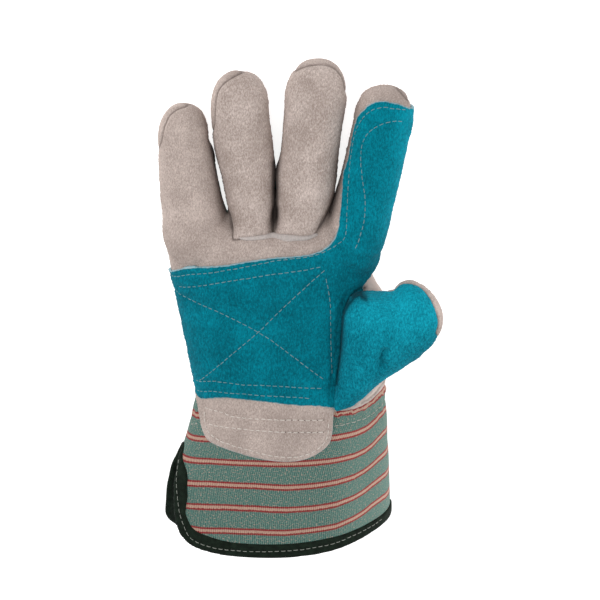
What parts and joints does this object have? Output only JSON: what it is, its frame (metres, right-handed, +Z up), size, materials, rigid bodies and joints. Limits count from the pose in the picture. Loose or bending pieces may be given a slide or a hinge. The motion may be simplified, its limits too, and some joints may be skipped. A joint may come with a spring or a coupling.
{
  "type": "rigger glove",
  "caption": "Right-hand rigger glove in split leather, with a doubled palm, set-in thumb, leather fingertips and a flared striped cotton cuff with a bound slit.",
  "frame": {"origin": "middle of the glove's outline on the surface that its back rests on", "axes": "+X towards the thumb's side, +Y towards the fingertips, +Z up, out of the palm"},
  "size_m": [0.1541, 0.2718, 0.0598],
  "materials": {
    "grey_leather": "napped suede side of split cowhide",
    "teal_leather": "dyed napped suede side of split cowhide",
    "striped_cotton": "stiffened ribbed cotton with woven stripes",
    "binding_tape": "folded woven cotton tape"
  },
  "bodies": {
    "root": {"palm_leather": "grey_leather", "ring_finger_front": "grey_leather", "middle_finger_front": "grey_leather", "finger_base_welt": "grey_leather", "little_fingertip_back": "grey_leather", "ring_fingertip_back": "grey_leather", "middle_fingertip_back": "grey_leather", "index_fingertip_back": "grey_leather", "thumb_back": "grey_leather", "vein_patch": "grey_leather", "thumb_front": "teal_leather", "palm_patch": "teal_leather", "back_fabric": "striped_cotton", "cuff": "striped_cotton", "cuff_binding": "binding_tape"}
  },
  "joints": []
}
